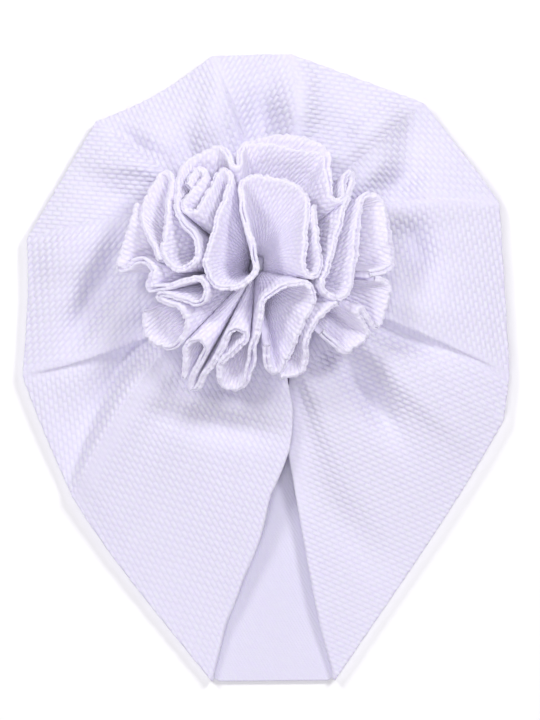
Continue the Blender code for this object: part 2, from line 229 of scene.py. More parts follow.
# The frills. A frill's rim, seen from the front, runs like a belt round pegs: straight from turn to
# turn, and round each one. across and up place a peg from the eye, and hand is 1 where the rim turns
# left and -1 where it turns right. A frill's root follows its rim, scaled about the eye.
FRILL_WALL = 2.1
ROOT_WALL_SHARE = 0.35
FLOWER_RISE = 23.0
FLOWER_REACH = 55.0
GAP = 0.3
RIM_STEP = 0.45
RIM_SOFTNESS = 1.3
SOFTEN_REACH = 3
TURN_STEPS = 12
# A longer sweep is a slight turn to the wrong side, and is left out.
FULL_TURN = 1.95 * math.pi
# The share of a turn's radius that the wall inside it may fill, and the slightest bend that counts.
TURN_ROOM = 0.85
SLIGHTEST_BEND = 0.001
SKIN_LEVELS = 24
LEVEL_BIAS = 0.85
# Waves along a frill: sideways, and up and down at its rim.
BUCKLE_HEIGHT = 0.45
BUCKLE_LENGTH = 14.0
RIPPLE_HEIGHT = 0.25
RIPPLE_LENGTH = 3.1
WAVE_SCALES = (1.0, 0.63, 1.7)

Turn = namedtuple("Turn", "across up radius hand")
# root is the root's scale. flare and lean are exponents: how a frill spreads and climbs on its way to
# the rim, below 1 early and above 1 late. knit_side is the hand of the face with the higher bumps,
# which run at grain degrees from the rim.
Frill = namedtuple("Frill", "root flare lean knit_side grain turns")
FRILLS = {
    "frill_inner_upper": Frill(0.16, 1.15, 1.0, 1, 70, (
        Turn(23.2, 23.0, 2.5, 1),
        Turn(20.0, 0.2, 3.0, -1),
        Turn(10.1, 23.0, 8.3, 1),
        Turn(0.0, 27.7, 5.8, 1),
        Turn(-9.0, 2.2, 9.0, -1),
        Turn(-11.2, 33.5, 2.5, 1),
        Turn(-22.7, 23.4, 3.2, -1),
        Turn(-20.2, 34.2, 2.2, 1),
        Turn(-22.5, 29.0, 2.6, 1),
    )),
    "frill_inner_lower": Frill(0.16, 1.15, 1.0, -1, 80, (
        Turn(-21.4, -37.8, 4.2, -1),
        Turn(-21.4, -28.4, 3.8, -1),
        Turn(-22.4, -41.4, 1.6, 1),
        Turn(-6.2, -23.6, 3.0, -1),
        Turn(-8.2, -37.0, 5.6, 1),
        Turn(13.0, -16.9, 11.5, -1),
        Turn(16.2, -9.0, 4.7, -1),
        Turn(6.8, -33.5, 3.2, -1),
        Turn(6.8, -26.6, 3.2, -1),
    )),
    "frill_outer_upper": Frill(0.42, 0.9, 0.8, -1, 60, (
        Turn(39.6, -0.4, 1.1, 1),
        Turn(47.5, 1.8, 1.1, 1),
        Turn(41.4, 23.0, 4.3, 1),
        Turn(28.8, -5.4, 5.0, -1),
        Turn(33.4, 34.0, 1.6, 1),
        Turn(28.9, 26.8, 2.6, -1),
        Turn(21.0, 38.5, 4.5, 1),
        Turn(5.8, 42.6, 3.2, 1),
        Turn(-2.9, 42.4, 2.5, 1),
        Turn(-7.2, 37.8, 1.4, -1),
        Turn(-13.0, 41.8, 2.5, 1),
        Turn(-20.2, 32.8, 7.4, 1),
        Turn(-21.6, 22.7, 6.8, 1),
        Turn(-26.6, 6.8, 6.5, -1),
        Turn(-32.4, 33.1, 2.2, 1),
        Turn(-28.8, 20.2, 11.9, 1),
        Turn(-26.6, 6.8, 8.3, 1),
    )),
    "frill_outer_left": Frill(0.3, 1.0, 0.9, 1, 75, (
        Turn(-41.4, 23.8, 1.1, 1),
        Turn(-48.6, 0.7, 1.1, 1),
        Turn(-40.7, -0.7, 4.3, -1),
        Turn(-37.1, -6.5, 1.1, 1),
        Turn(-21.6, -7.4, 4.4, -1),
        Turn(-34.2, -9.6, 1.3, 1),
        Turn(-32.0, -19.6, 7.9, -1),
        Turn(-37.4, -14.8, 2.2, -1),
    )),
    "frill_outer_right": Frill(0.3, 1.0, 0.9, -1, 75, (
        Turn(8.6, -37.1, 1.1, 1),
        Turn(15.1, -34.9, 2.2, 1),
        Turn(32.8, -26.6, 14.4, -1),
        Turn(34.6, -21.2, 10.8, -1),
    )),
    "frill_skirt": Frill(0.42, 0.9, 0.8, 1, 80, (
        Turn(23.8, -21.2, 1.1, 1),
        Turn(32.4, -28.1, 1.4, 1),
        Turn(38.9, -22.7, 1.4, 1),
        Turn(37.4, -14.8, 1.4, -1),
        Turn(42.8, -19.8, 1.4, 1),
        Turn(46.4, -6.1, 1.8, 1),
        Turn(41.8, -4.0, 1.4, 1),
    )),
}
# Where a frill's two plies stand apart at its rim: a place from the eye, how far along it reaches,
# how much each ply moves out, how deep it opens, and how far the outer ply stands above the inner.
Parting = namedtuple("Parting", "frill across up reach out depth step")
PARTINGS = (
    Parting("frill_outer_upper", 14.0, 44.0, 12.0, 1.2, 6.0, 3.0),
    Parting("frill_outer_upper", 43.0, 10.0, 9.0, 0.8, 3.0, 1.0),
    Parting("frill_outer_left", -42.0, -4.0, 6.0, 0.8, 3.0, 1.0),
    Parting("frill_inner_lower", -3.0, -32.0, 6.0, 0.5, 3.0, 0.0),
)
# How far the inner ply sinks where the outer one stands above it, as a share of the step.
INNER_STEP = -0.4
# The plies also part a little in other places, in waves along the rim.
PARTING_LENGTH = 23.0
PARTING_GAIN = 1.6
PARTING_LIMIT = 0.2
PARTING_DEPTH = 1.5
# The raw rim of one ply, from its face to the middle between the plies: share of the ply, and height.
RIM_PROFILE = ((1.0, 0.0), (0.93, 0.28), (0.75, 0.46), (0.52, 0.52), (0.28, 0.46), (0.12, 0.36), (0.0, 0.30))
# Rows below GROOVE_SHARE sink where the plies part, and those below MIDDLE_SHARE don't move out. The
# last GROOVE_ROWS rows of a ply show the knit's face.
GROOVE_SHARE = 0.3
MIDDLE_SHARE = 0.2
GROOVE_ROWS = 3
# Small waves of the rim, and the roughness of the raw edge.
SCALLOP = 0.30
SCALLOP_LENGTHS = (1.2 * BUMP_PITCH, 3.6)
FRAY = 0.05

# Materials of a piece, by their number: the knit's face, its plain back, and the raw rim of a frill.
FACE = 0
REVERSE = 1
RAW = 2
# A cloth's darkest and lightest colour, and how much of the light goes into it and how deep, in mm.
# The darkest is painted shade in the gaps between bumps or ribs, the lightest painted light on their tops.
Cloth = namedtuple("Cloth", "dark light glow depth")
CAP_FACE = Cloth((0.765, 0.735, 0.925), (0.84, 0.82, 0.945), 0.25, 1.5)
# The plain back's colour is darker than the face's: painted shade for the back seen in the slot between the
# flaps.
CAP_REVERSE_PAINTED_SHADE = Cloth((0.765, 0.74, 0.90), (0.79, 0.77, 0.91), 0.25, 1.5)
# The frills' knit is a lighter copy of the cap's: painted light, for the light that shines through and
# bounces inside the flower.
FRILL_FACE_PAINTED_LIGHT = Cloth((0.82, 0.78, 0.98), (0.905, 0.875, 0.99), 0.15, 2.0)
# The frills' raw rims are paler still: partly the raw edge's loose fibres, partly a painted highlight where
# the rims catch the light.
FRILL_RIM_AND_HIGHLIGHT = Cloth((0.855, 0.825, 0.985), (0.895, 0.87, 0.995), 0.15, 2.0)
ROUGHNESS = 0.92
SHEEN = 0.25
SHEEN_ROUGHNESS = 0.45
SPECULAR = 0.25
GLOW_RADIUS = (1.0, 0.8, 1.2)
RIB_PITCH = 0.95
RIB_HEIGHT = 0.12
FIBRE_SCALE = 2600
FIBRE_DETAIL = 3
FIBRE_HEIGHT = 0.22
BLOTCH_SCALE = 60
BLOTCH_DETAIL = 2
BLOTCH_SHARE = 0.3
BUMP_STRENGTH = 0.55
BUMP_DISTANCE = 0.45

# The picture: the camera looks straight down, and one of its pixels is 0.36 mm.
PIXEL = 0.36
PICTURE_HEIGHT = 720
PICTURE_CENTRE = (1.34, 2.86)
CAMERA_DISTANCE = 2500.0
SENSOR = 36.0
# From here on the lengths are metres.
NEAREST = 0.1
FURTHEST = 20
FLOOR_SIZE = 6
FLOOR_LEVEL = -0.0002
FLOOR_COLOUR = (0.98, 0.98, 0.98)
FLOOR_ROUGHNESS = 0.9
FLOOR_SPECULAR = 0.1
Light = namedtuple("Light", "name place size power")
LIGHTS = (
    Light("key", (0.95, 0.85, 1.05), 0.40, 11.4),
    Light("second", (-0.95, 0.90, 1.00), 0.40, 8.4),
    Light("front", (-0.45, -1.00, 1.20), 0.6, 6.5),
    Light("top", (0.00, 0.00, 1.90), 0.9, 5.5),
)
LIGHT_TARGET = (0, 0.01, 0.02)
WORLD_STRENGTH = 0.32
WORLD_COLOUR = (0.95, 0.905, 1.0, 1)


def smooth(value):
    value = np.clip(value, 0, 1)
    return value * value * (3 - 2 * value)


def unit(vectors):
    return vectors / np.maximum(SHORTEST, np.linalg.norm(vectors, axis=-1, keepdims=True))


def at_clock(clock, distance):
    """Place in plan at a clock angle and a distance from the eye."""
    angle = np.radians(clock)
    return np.array(EYE) + np.stack([-np.sin(angle), -np.cos(angle)], axis=-1) * distance[..., None]


def with_height(place, height):
    height = np.broadcast_to(height, place.shape[:-1])
    return np.concatenate([place, height[..., None]], axis=-1)


def clock_offset(clock, other):
    return (clock - other + 180) % 360 - 180


def outline_reach(clock):
    """Distance from the eye to the outline: straight from fold to fold, with each row's bow."""
    rims = np.array([fold.rim for fold in FOLDS] + [FOLDS[0].rim + 360])
    reaches = np.array([fold.reach for fold in FOLDS] + [FOLDS[0].reach])
    bows = np.array([fold.bow for fold in FOLDS])
    turned = (clock - rims[0]) % 360 + rims[0]
    row = np.clip(np.searchsorted(rims, turned, side="right") - 1, 0, len(FOLDS) - 1)
    first, second = reaches[row], reaches[row + 1]
    to_first = np.radians(turned - rims[row])
    to_second = np.radians(rims[row + 1] - turned)
    chord = first * second * np.sin(to_first + to_second)
    chord = chord / (first * np.sin(to_first) + second * np.sin(to_second))
    share = to_first / (to_first + to_second)
    return chord + 4 * share * (1 - share) * bows[row]


def slot_edge(share, side):
    return np.interp(share, [row.share for row in SLOT], [getattr(row, side) for row in SLOT])


def past_pleats(fold, share):
    """How far along a fold a place lies, from 0 where its pleat starts to 1 at the outline."""
    start = PLEAT_START / fold.reach
    return np.maximum(0, (share - start) / (1 - start))


def fold_clock(fold, share):
    """Clock angle of a fold's line at these shares."""
    if fold is FOLDS[0]:
        return slot_edge(share, "left")
    if fold is FOLDS[-1]:
        return slot_edge(share, "right")
    return fold.root + past_pleats(fold, share) * (fold.rim - fold.root)


def beside_fold(fold, clock, share):
    """How far past a fold's line a place lies, by clock, in mm."""
    return share * outline_reach(clock) * np.radians(clock_offset(clock, fold_clock(fold, share)))


def hem_nearness(clock):
    left = np.abs(clock_offset(clock, FOLDS[0].rim))
    right = np.abs(clock_offset(clock, FOLDS[-1].rim))
    return np.exp(-((np.minimum(left, right) / HEM_SPREAD) ** 2))


def fold_half_rise(clock):
    return FOLD_HALF_RISE + hem_nearness(clock) * (HEM_HALF_RISE - FOLD_HALF_RISE)


def fold_inset(clock):
    return FOLD_INSET + hem_nearness(clock) * (HEM_INSET - FOLD_INSET)


def pleat_growth(distance):
    return smooth((distance - GATHER_RADIUS) / (PLEAT_START - GATHER_RADIUS))


def pleat_fade(fold, share, distance):
    return pleat_growth(distance) * (1 - PLEAT_FADE * past_pleats(fold, share))


def flapness(clock):
    return np.exp(-((clock_offset(clock, FLAP_CLOCK) / FLAP_SPREAD) ** 2))


def crease(clock, share):
    """Height of the left flap's crease: a long rise up to its line, and a short drop past it."""
    away = beside_fold(FOLD["left_ridge"], clock, share)
    before = CREASE_RISE * np.exp(np.minimum(0, away) / CREASE_SPREAD)
    width = CREASE_WIDTH * (1 - CREASE_TAPER * share)
    fade = np.exp(-np.maximum(0, away - width) / CREASE_FADE)
    after = (CREASE_RISE - CREASE_DROP * smooth(away / width)) * fade
    return pleat_growth(share * outline_reach(clock)) * np.where(away < 0, before, after)


def tucks(clock, share):
    """Height of the tucks: a step at each fold's line, which fades to both sides."""
    distance = share * outline_reach(clock)
    height = np.zeros_like(distance)
    for fold in FOLDS:
        if not fold.tuck:
            continue
        away = beside_fold(fold, clock, share)
        step = np.sin(np.clip(away / TUCK_REACH, -1, 1) * math.pi / 2)
        fade = pleat_fade(fold, share, distance)
        height += fade * fold.tuck / 2 * step * np.exp(-np.abs(away / fold.width))
    return height


def gathers(clock, distance):
    fade = np.exp(-np.maximum(0, distance - PLEAT_START) / GATHER_FADE)
    spread = smooth((distance - GATHER_RADIUS) / GATHER_START) * fade
    height = np.zeros_like(distance)
    for gather in GATHERS:
        height += gather.height * spread * np.cos(np.radians(gather.count * clock + gather.phase))
    return height


def swells(clock, distance):
    place = at_clock(clock, distance)
    grow = smooth((distance - GATHER_RADIUS) / SWELL_START)
    height = np.zeros_like(distance)
    for swell in SWELLS:
        angle = math.radians(swell.angle)
        offset = place - np.array([swell.x, swell.y])
        along = (offset @ np.array([math.cos(angle), math.sin(angle)])) / swell.length
        aside = (offset @ np.array([-math.sin(angle), math.cos(angle)])) / swell.width
        height += grow * swell.height * np.exp(-along * along - aside * aside)
    return height


def relief(clock, share):
    """Height that the folds, the crease, the gathers and the swells add to the front."""
    distance = share * outline_reach(clock)
    return tucks(clock, share) + crease(clock, share) + gathers(clock, distance) + swells(clock, distance)


def lap(clock, share):
    """Lift of the left flap over the right one, past the slot's root."""
    distance = share * outline_reach(clock)
    left = distance * np.radians(clock - slot_edge(share, "left"))
    right = distance * np.radians(slot_edge(share, "right") - clock)
    grow = smooth((share - SLOT_ROOT) / LAP_START)
    fade = 1 - smooth((share - LAP_FADE_START) / LAP_FADE_LENGTH)
    up = np.exp(-np.maximum(0, left) / LAP_SPREAD)
    down = np.exp(-np.maximum(0, right) / LAP_SPREAD)
    return LAP_LIFT * grow * fade * np.where(left < right, up, -down)


def dome(clock, share):
    flap = flapness(clock)
    puff = PUFF + flap * (FLAP_PUFF - PUFF)
    fall = PUFF_FALL + flap * (FLAP_FALL - PUFF_FALL)
    half_rise = fold_half_rise(clock)
    return half_rise + (CROWN_RISE - half_rise) * np.maximum(0, 1 - share**puff) ** fall


def tuck_shift(clock, share):
    """Sideways run of the cloth at each tuck, in degrees: on past the edge, back under, and on."""
    distance = share * outline_reach(clock)
    shift = np.zeros_like(distance)
    for fold in FOLDS:
        if not fold.over:
            continue
        turn = -np.sin(np.clip(beside_fold(fold, clock, share) / TUCK_REACH, -1, 1) * math.pi)
        shift += fold.over * pleat_fade(fold, share, distance) * turn
    return np.degrees(shift / np.maximum(PLEAT_START, distance))


def front_points(clock, share, overhang=True):
    """Points of the front's outer face; share runs past 1 round the fold at the outline."""
    inside = np.minimum(share, 1.0)
    edge = smooth((1 - inside) / EDGE_FADE)
    height = dome(clock, inside)
    height += relief(clock, inside) * (EDGE_RELIEF + (1 - EDGE_RELIEF) * edge)
    height += lap(clock, inside) * edge
    floor = np.minimum(LOWEST, fold_half_rise(clock) * LOWEST_SHARE)
    above = np.minimum(EXPONENT_LIMIT, (height - floor) / LOWEST_SOFTNESS)
    height = floor + LOWEST_SOFTNESS * np.log1p(np.exp(above))
    turned = clock + tuck_shift(clock, inside) if overhang else clock
    under = np.clip(share - 1, 0, 1) * math.pi / 2
    distance = inside * outline_reach(turned) - fold_inset(clock) * (1 - np.cos(under))
    return with_height(at_clock(turned, distance), height * (1 - np.sin(under)))


Column = namedtuple("Column", "panel way shift")


def cap_columns():
    """Columns of the front: the panel, the way across it, and the shift from a tuck's line in mm."""
    columns = []
    for panel, (before, after) in enumerate(zip(FOLDS, FOLDS[1:])):
        span = math.radians(after.rim - before.rim) * (before.reach + after.reach) / 2
        count = max(FEWEST_COLUMNS, round(span / COLUMN_STEP))
        if after is FOLDS[-1]:
            # The last column of all has to be one of every third.
            count += -(len(columns) + count - 1) % STRIDE
        first = 0 if before is FOLDS[0] else 1
        stop = count if after.over else count + 1
        columns += [Column(panel, step / count, 0.0) for step in range(first, stop)]
        if after.over:
            sides = np.linspace(-1, 1, TUCK_COLUMNS + 1)
            columns += [Column(panel, 1.0, side * TUCK_REACH) for side in sides]
    return columns


def column_rims(columns):
    """Clock angle at which each column meets the outline, without its shift."""
    rims = []
    for panel, way, _ in columns:
        before, after = FOLDS[panel].rim, FOLDS[panel + 1].rim
        rims.append(before + way * (after - before))
    return np.array(rims)


def column_clocks(columns, share):
    """Clock angle of each column at each ring; share has one row for each ring."""
    lines = [fold_clock(fold, share) for fold in FOLDS]
    distance = np.maximum(PLEAT_START, share * outline_reach(column_rims(columns)))
    clocks = np.empty_like(share)
    for index, (panel, way, shift) in enumerate(columns):
        before, after = FOLDS[panel], FOLDS[panel + 1]
        first, second = lines[panel][:, index], lines[panel + 1][:, index]
        if way == 1.0 and after.over:
            clocks[:, index] = second + np.degrees(shift / distance[:, index])
            continue
        margin = np.degrees(TUCK_REACH / distance[:, index])
        first = first + (margin if before.over else 0)
        second = second - (margin if after.over else 0)
        clocks[:, index] = first + way * (second - first)
    return clocks


def front_shares(start):
    """Share of the way to the outline, for each ring and column; past 1 it turns under."""
    steps = np.arange(FRONT_RINGS + 1)[:, None] / FRONT_RINGS
    share = start + (1 - start) * steps
    share[:, 0] = SLOT_ROOT + (1 - SLOT_ROOT) * steps[:, 0]
    share[:, -1] = share[:, 0]
    turning = 1 + np.arange(1, TURN_RINGS + 1)[:, None] / TURN_RINGS
    return np.concatenate([share, np.repeat(turning, len(start), axis=1)])


def normals_of(points):
    """Outward unit normals of a grid of points, rings by columns."""
    return unit(np.cross(np.gradient(points, axis=1), np.gradient(points, axis=0)))


def knit_coordinates(x, y, degrees):
    """Coordinates along and across bumps that run in this direction."""
    angle = math.radians(degrees)
    return x * math.cos(angle) + y * math.sin(angle), y * math.cos(angle) - x * math.sin(angle)


def bumps(along, across):
    """Height of the knit's bumps, 0 to 1: rows of small ovals, each row half a bump on."""
    row = np.floor(across / BUMP_PITCH)
    a = (along / BUMP_LENGTH + 0.5 * (row % 2)) % 1 - 0.5
    b = (across / BUMP_PITCH) % 1 - 0.5
    ends = np.clip(np.cos(math.pi * a), 0, 1) ** BUMP_ENDS
    return ends * np.clip(np.cos(math.pi * b), 0, 1) ** BUMP_SIDES


def cap_nap_and_shade(clock, share):
    """How raised the knit's bumps are, and so how much shade is painted into their gaps: less on
    stretched folds, on the flaps' lower ends and at the right flap's edge."""
    distance = share * outline_reach(clock)
    nap_and_shade = np.ones_like(distance)
    for stretch in STRETCHES:
        away = beside_fold(FOLD[stretch.fold], clock, share) - stretch.aside
        nap_and_shade -= stretch.loss * np.exp(-((away / stretch.width) ** 2))
    right = distance * np.radians(slot_edge(share, "right") - clock)
    lapped = 1 - smooth((share - LAP_FADE_START) / RIGHT_EDGE_FADE)
    nap_and_shade *= 1 - RIGHT_EDGE_LOSS * np.exp(-((right / RIGHT_EDGE_WIDTH) ** 2)) * lapped
    nap_and_shade *= 1 - FLAP_CALM * flapness(clock) * smooth((share - FLAP_CALM_START) / FLAP_CALM_LENGTH)
    return np.clip(nap_and_shade, LEAST_NAP, 1)


# Slopes raise the bumps and deepen the painted shade in their gaps.
def slope_nap_and_shade(plain):
    tilt = 1 - np.abs(normals_of(plain)[..., 2])
    return 1 + SLOPE_NAP_AND_SHADE * smooth((tilt - SLOPE_START) / SLOPE_SPREAD)


def outer_skin(skin, panels, nap_and_shade):
    """The front's outer face with the knit's bumps raised on it, in each panel's own direction."""
    height = np.empty(nap_and_shade.shape)
    for panel, degrees in enumerate(GRAINS):
        chosen = panels == panel
        height[:, chosen] = bumps(*knit_coordinates(skin[:, chosen, 0], skin[:, chosen, 1], degrees))
    skin = skin + normals_of(skin) * (BUMP_RELIEF * height * nap_and_shade)[..., None]
    skin[..., 2] = np.maximum(skin[..., 2], FLOOR_CLEARANCE)
    return skin


def inner_skin(plain):
    """The front's inside: one wall in from its outer face, and straight down at the outline."""
    inner = (plain - normals_of(plain) * CAP_WALL)[::STRIDE, ::STRIDE]
    inner[..., 2] = np.maximum(inner[..., 2], CAP_WALL + SEAM_ROOM)
    turning = TURN_RINGS // STRIDE
    last = plain[-1, ::STRIDE].copy()
    last[..., 2] = CAP_WALL
    way = np.arange(1, turning + 1)[:, None, None] / turning
    inner[-turning:] = inner[-turning - 1] + (last - inner[-turning - 1]) * way
    return inner


class Builder:
    """Collects points and faces of one piece, with each face's material and knit panel."""

    def __init__(self):
        self.points = []
        self.faces = []
        self.materials = []
        self.panels = []

    def add(self, points):
        points = np.asarray(points, float)
        start = sum(len(block) for block in self.points)
        self.points.append(points.reshape(-1, 3))
        return start + np.arange(len(self.points[-1])).reshape(points.shape[:-1])

    def add_ring(self, points):
        """Adds a closed ring, whose last point is its first one."""
        index = self.add(points[:-1])
        return np.append(index, index[0])

    def face(self, corners, material, panel=0):
        found = [c for i, c in enumerate(corners) if c not in corners[:i]]
        if len(found) > 2:
            self.faces.append(found)
            self.materials.append(material)
            self.panels.append(panel)

    def grid(self, index, material, panel=0, flip=False):
        for upper, lower in zip(index.tolist(), index[1:].tolist()):
            for j in range(len(upper) - 1):
                corners = [upper[j], upper[j + 1], lower[j + 1], lower[j]]
                self.face(corners[::-1] if flip else corners, material, panel)

    def band(self, first, second, material, flip=False):
        self.grid(np.stack([first, second]), material, flip=flip)

    def fan(self, ring, pole, material, flip=False):
        self.band(ring, np.full_like(ring, self.add([pole])[0]), material, flip)

    def stitch(self, fine, coarse, material, panel=0, flip=False):
        """A band from a fine row to a coarse one that has every third of its points."""
        fine, coarse = fine.tolist(), coarse.tolist()
        for j in range(len(coarse) - 1):
            corners = fine[STRIDE * j : STRIDE * (j + 1) + 1] + [coarse[j + 1], coarse[j]]
            self.face(corners[::-1] if flip else corners, material, panel)

    def make_piece(self, name, materials, coordinates, nap_and_shade):
        mesh = bpy.data.meshes.new(name)
        mesh.from_pydata(np.concatenate(self.points) * MM, [], self.faces)
        for material in materials:
            mesh.materials.append(material)
        mesh.polygons.foreach_set("material_index", self.materials)
        mesh.shade_smooth()
        panels = np.repeat(self.panels, [len(face) for face in self.faces])
        corners = np.concatenate(self.faces)
        layer = mesh.uv_layers.new(name="knit")
        layer.data.foreach_set("uv", coordinates(corners, panels).astype(np.float32).ravel())
        # Per point: how raised the bumps are, which also sets how deep the painted shade in their gaps is.
        attribute = mesh.attributes.new("nap_and_shade", "FLOAT", "POINT")
        attribute.data.foreach_set("value", nap_and_shade.astype(np.float32))
        mesh.validate()
        piece = bpy.data.objects.new(name, mesh)
        bpy.context.scene.collection.objects.link(piece)
        return piece


def add_front(build, outer, inner, panels):
    for panel in range(len(GRAINS)):
        chosen = np.flatnonzero(panels == panel)
        low = chosen[0] - (1 if panel else 0)
        build.grid(outer[:, low : chosen[-1] + 1], FACE, panel)
    build.grid(inner, REVERSE, flip=True)
    build.stitch(outer[:, 0], inner[:, 0], FACE)
    build.stitch(outer[:, -1], inner[:, -1], FACE, len(GRAINS) - 1, flip=True)


def add_hub(build, clocks, start, outer, inner):
    """Coarse rings of the front, from its first fine ring in to the eye."""
    for ring in range(1, HUB_RINGS):
        disc = front_points(clocks, start * (1 - ring / HUB_RINGS))
        upper = build.add_ring(disc)
        lower = build.add_ring(disc - np.array([0, 0, CAP_WALL]))
        if ring == 1:
            build.stitch(outer, upper, FACE, flip=True)
        else:
            build.band(upper, outer, FACE)
        build.band(lower, inner, REVERSE, flip=True)
        outer, inner = upper, lower
    build.fan(outer, (*EYE, CROWN_RISE), FACE, flip=True)
    build.fan(inner, (*EYE, CROWN_RISE - CAP_WALL), REVERSE)


def back_rings(reach):
    """Distances from the eye of the back's rings: some beside the outline, then evenly spaced."""
    beside = [reach - line for line in HEM_LINES]
    even = [(reach - HEM_LINES[-1]) * (1 - ring / BACK_RINGS) for ring in range(1, BACK_RINGS)]
    return beside + even


def back_waves(place):
    """Slight waves of the back's inside, where the slot shows it."""
    x, y = place[:, 0], place[:, 1]
    wave_height = WAVE_HEIGHT * np.sin(x / WAVE_X + y / WAVE_LEAN) * np.sin(y / WAVE_Y + WAVE_PHASE)
    offset = (place - np.array(APEX)) / np.array(APEX_REACH)
    return wave_height + APEX_RISE * np.exp(-(offset * offset).sum(axis=1))


def add_back(build, clocks, outer, inner):
    """The flat back, from the fold at the outline in to a pole under the eye, and its hem."""
    front = len(clocks)
    hem = np.linspace(FOLDS[-1].rim, FOLDS[0].rim + 360, HEM_COLUMNS + 1)[1:]
    around = np.concatenate([clocks, hem])
    inset = fold_inset(around)
    inset[front:-1] = 0
    reach = outline_reach(around)
    hem_place = at_clock(around, reach)[front:-1]
    hem_outer = build.add(with_height(hem_place, 0.0))
    hem_inner = build.add(with_height(hem_place, CAP_WALL))
    below = np.concatenate([outer[::STRIDE], hem_outer, outer[:1]])
    above = np.concatenate([inner, hem_inner, inner[:1]])
    build.band(below[front - 1 :], above[front - 1 :], REVERSE, flip=True)
    for ring, spread in enumerate(back_rings(reach - inset)):
        place = at_clock(around, spread)
        level = back_waves(place) * smooth((reach - spread) / WAVE_START)
        lower = build.add_ring(with_height(place, 0.0))
        upper = build.add_ring(with_height(place, CAP_WALL + level))
        if ring == 0:
            build.stitch(outer, lower[:front], FACE)
            build.band(below[front - 1 :], lower[front - 1 :], FACE)
        else:
            build.band(below, lower, FACE)
        build.band(above, upper, REVERSE, flip=True)
        below, above = lower, upper
    build.fan(below, (*EYE, 0.0), FACE)
    build.fan(above, (*EYE, CAP_WALL), REVERSE, flip=True)


def make_cap(outside, inside):
    columns = cap_columns()
    panels = np.array([column.panel for column in columns])
    start = FINE_START / outline_reach(column_rims(columns))
    share = front_shares(start)
    inside_share = np.minimum(share, 1.0)
    clocks = column_clocks(columns, inside_share)
    plain = front_points(clocks, share, overhang=False)
    nap_and_shade = cap_nap_and_shade(clocks, inside_share) * slope_nap_and_shade(plain)

    build = Builder()
    outer = build.add(outer_skin(front_points(clocks, share), panels, nap_and_shade))
    inner = build.add(inner_skin(plain))
    for index in (outer, inner):
        index[0, -1] = index[0, 0]
    add_front(build, outer, inner, panels)
    add_hub(build, clocks[0, ::STRIDE], start[::STRIDE], outer[0], inner[0])
    add_back(build, clocks[-1, ::STRIDE], outer[-1], inner[-1])
    points = np.concatenate(build.points)

    def coordinates(corners, corner_panels):
        result = np.empty((len(corners), 2))
        for panel, degrees in enumerate(GRAINS):
            chosen = corner_panels == panel
            place = points[corners[chosen]]
            result[chosen] = np.stack(knit_coordinates(place[:, 0], place[:, 1], degrees), axis=1)
        return result

    full_nap_and_shade = np.ones(len(points))
    full_nap_and_shade[: nap_and_shade.size] = nap_and_shade.ravel()
    return build.make_piece("turban_cap_cloth", (outside, inside), coordinates, full_nap_and_shade)


def belt_tangent(first, second):
    """Heading of the straight run from one turn to the next."""
    run_x, run_y = second.across - first.across, second.up - first.up
    offset = first.hand * first.radius - second.hand * second.radius
    return math.atan2(run_y, run_x) + math.asin(offset / math.hypot(run_x, run_y))


def on_turn(turn, heading):
    side = turn.hand * turn.radius
    return np.array([turn.across + side * math.sin(heading), turn.up - side * math.cos(heading)])


def soften(path):
    """The same path with its joins rounded by a moving average, its ends kept."""
    reach = int(SOFTEN_REACH * RIM_SOFTNESS / RIM_STEP)
    weights = np.exp(-0.5 * (np.arange(-reach, reach + 1) * RIM_STEP / RIM_SOFTNESS) ** 2)
    weights /= weights.sum()
    before = 2 * path[0] - path[reach:0:-1]
    after = 2 * path[-1] - path[-2 : -reach - 2 : -1]
    padded = np.concatenate([before, path, after])
    return np.stack([np.convolve(padded[:, axis], weights, "valid") for axis in (0, 1)], axis=1)


def rim_path(turns):
    """Evenly spaced points of a frill's rim about the eye, and how far along it each one lies."""
    headings = [belt_tangent(first, second) for first, second in zip(turns, turns[1:])]
    headings.append(headings[-1])
    points = [on_turn(turns[0], headings[0])]
    for turn, arrive, leave in zip(turns[1:], headings, headings[1:]):
        sweep = (leave - arrive) * turn.hand % math.tau
        points.append(on_turn(turn, arrive))
        if 0 < sweep <= FULL_TURN:
            steps = turn.hand * sweep * np.arange(1, TURN_STEPS + 1) / TURN_STEPS
            points += [on_turn(turn, arrive + step) for step in steps]
    points = np.array(points)
    length = np.concatenate([[0], np.cumsum(np.linalg.norm(np.diff(points, axis=0), axis=1))])
    even = np.linspace(0, length[-1], round(length[-1] / RIM_STEP))
    path = np.stack([np.interp(even, length, points[:, axis]) for axis in (0, 1)], axis=1)
    return soften(path), even


def wave(along, length, rng):
    """Smooth noise along a rim, about -1 to 1, with waves near this length."""
    total = np.zeros_like(along)
    for scale in WAVE_SCALES:
        total += np.sin(math.tau * along / (length * scale) + rng.uniform(0, math.tau))
    return total / 2


def frill_surface(frill, rims, levels):
    """Middle of a frill's cloth: from its root on the cap, level 0, flaring out to its rim."""
    root = rims * frill.root
    clock = np.degrees(np.arctan2(-root[:, 0], -root[:, 1]))
    root_height = dome(clock, np.linalg.norm(root, axis=1) / outline_reach(clock)) + GAP
    edge = np.linalg.norm(rims, axis=1) / FLOWER_REACH
    climb = CROWN_RISE + FLOWER_RISE * (1 - edge * edge) - root_height
    scale = frill.root + (1 - frill.root) * levels**frill.flare
    place = np.array(EYE) + rims[:, None, :] * scale[None, :, None]
    return with_height(place, root_height[:, None] + climb[:, None] * levels[None, :] ** frill.lean)


Strip = namedtuple("Strip", "middle side rise")


